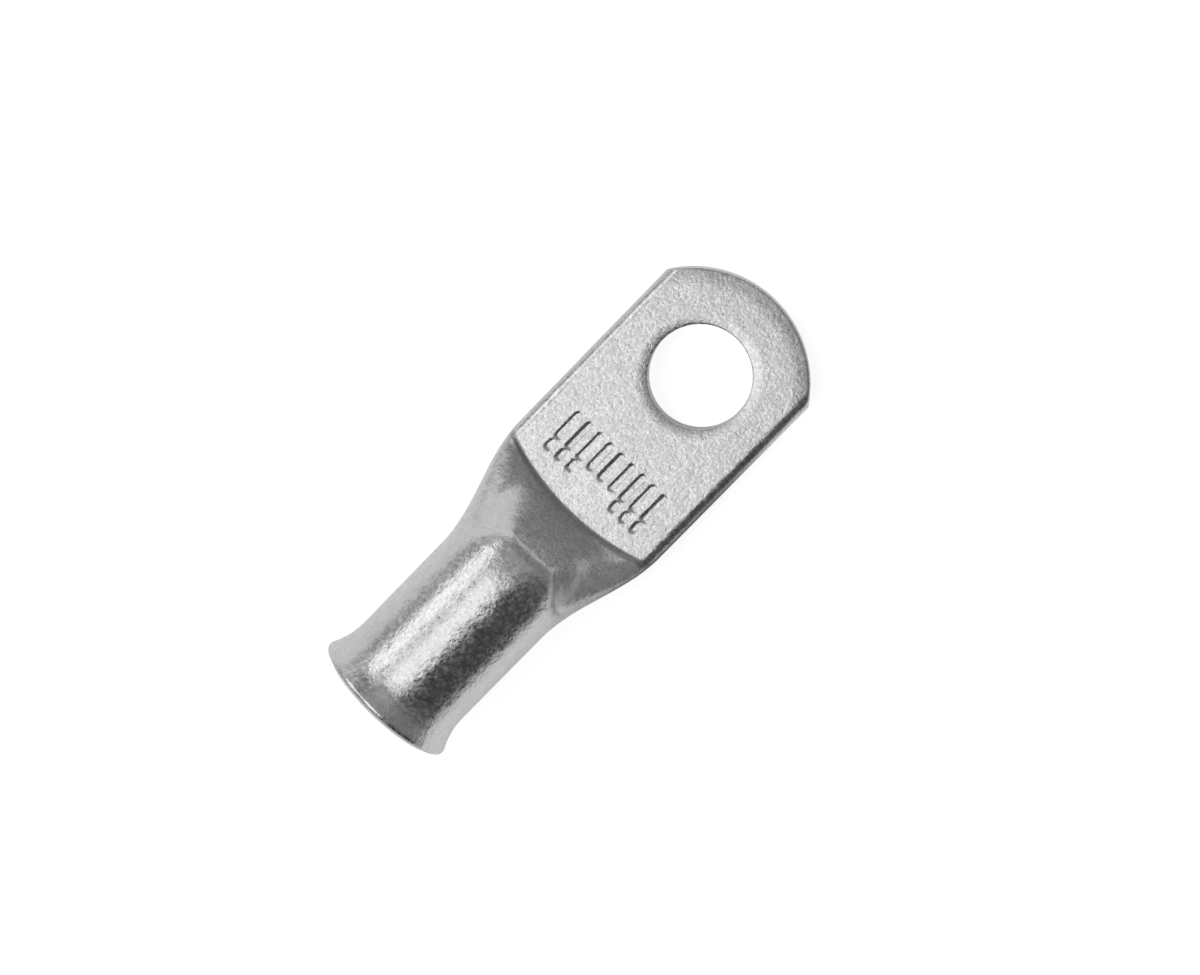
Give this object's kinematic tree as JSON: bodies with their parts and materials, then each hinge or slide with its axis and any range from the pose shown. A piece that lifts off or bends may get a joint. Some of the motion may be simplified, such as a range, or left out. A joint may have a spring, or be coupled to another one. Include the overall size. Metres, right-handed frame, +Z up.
{
  "type": "cable lug",
  "caption": "Flared copper tube lug, tin plated: a round barrel for a stranded cable, pressed flat into a palm with a stud hole.",
  "frame": {"origin": "centre of the stud hole on the palm's seating face, its underside", "axes": "+X along the lug from the cable mouth to the rounded end of the palm, +Z up, square to the palm and along the stud hole"},
  "size_m": [0.0375, 0.0132, 0.0104],
  "materials": {
    "tinned_copper": null
  },
  "bodies": {
    "root": {"lug": "tinned_copper"}
  },
  "joints": []
}
